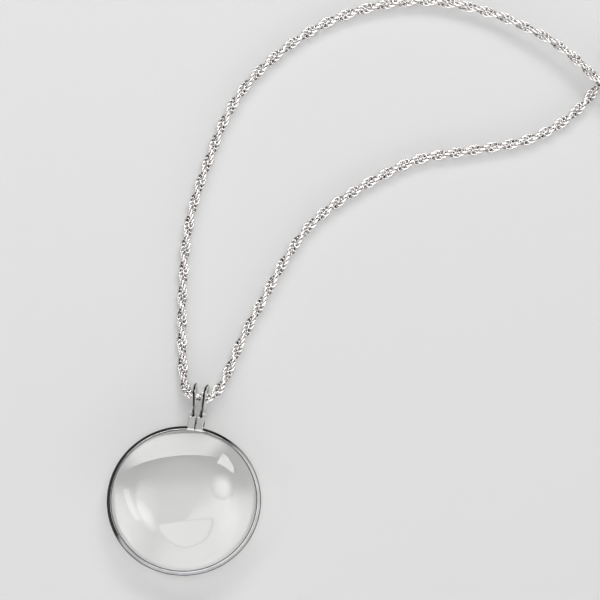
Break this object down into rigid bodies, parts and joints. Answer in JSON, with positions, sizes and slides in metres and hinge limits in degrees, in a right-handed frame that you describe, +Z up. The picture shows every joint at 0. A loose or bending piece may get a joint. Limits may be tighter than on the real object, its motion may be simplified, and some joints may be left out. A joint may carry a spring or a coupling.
{
  "type": "magnifier pendant on a rope chain",
  "caption": "Round biconvex magnifying lens in a thin split metal band with wire bail loops, on a long closed rope chain, lying flat.",
  "frame": {"origin": "the point where the lens's lower dome touches the surface it lies on, on the lens axis", "axes": "+Z up along the lens axis, +X along the laid chain's longest way, +Y roughly from the lens to its bail"},
  "size_m": [0.2904, 0.2043, 0.0105],
  "materials": {
    "glass": "clear, polished",
    "polished_metal": "bright silver-tone plate, mirror polished",
    "screw_metal": "darker plate, satin",
    "chain_metal": "bright silver-tone plate, polished wire links"
  },
  "bodies": {
    "root": {"lens": "glass", "bezel": "polished_metal", "tab_screw": "screw_metal", "bail_loop_left": "polished_metal", "bail_loop_right": "polished_metal", "chain_a": "chain_metal", "chain_b": "chain_metal", "clasp": "polished_metal"}
  },
  "joints": []
}
